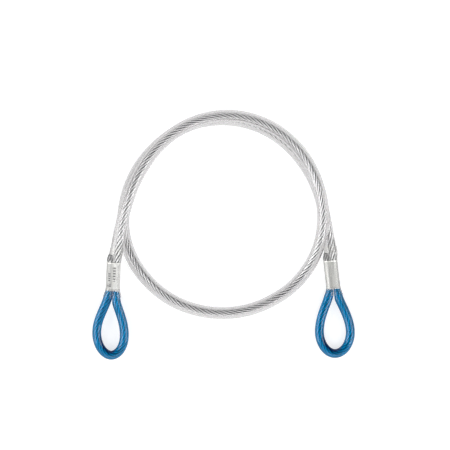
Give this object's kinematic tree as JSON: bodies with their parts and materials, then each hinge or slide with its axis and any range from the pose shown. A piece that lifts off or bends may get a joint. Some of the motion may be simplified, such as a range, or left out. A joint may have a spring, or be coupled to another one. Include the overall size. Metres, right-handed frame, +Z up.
{
  "type": "wire rope sling",
  "caption": "Flexible galvanised wire rope sling in a clear plastic jacket, with a pressed aluminium ferrule and a blue hose-lined soft eye at each end, laid down coiled.",
  "frame": {"origin": "the point on the floor under the middle of the whole coiled sling's box", "axes": "+Z up from the floor it lies on; +X across the two ends, from the labelled end to the other; +Y from the eyes towards the far side of the coil"},
  "size_m": [0.221, 0.2104, 0.0202],
  "materials": {
    "rope": "galvanised steel wires laid up in six strands round a core",
    "jacket": "clear flexible PVC tube, glossy",
    "ferrule": "pressed aluminium, satin",
    "label": "white printed film",
    "hose": "see-through blue flexible PVC, glossy",
    "sleeve": "clear heat-shrunk film, glossy"
  },
  "bodies": {
    "root": {"wire_rope": "rope", "clear_jacket": "jacket", "left_ferrule": "ferrule", "right_ferrule": "ferrule", "ferrule_label": "label", "left_eye_hose": "hose", "right_eye_hose": "hose", "left_shrink_sleeve": "sleeve", "right_shrink_sleeve": "sleeve"}
  },
  "joints": []
}
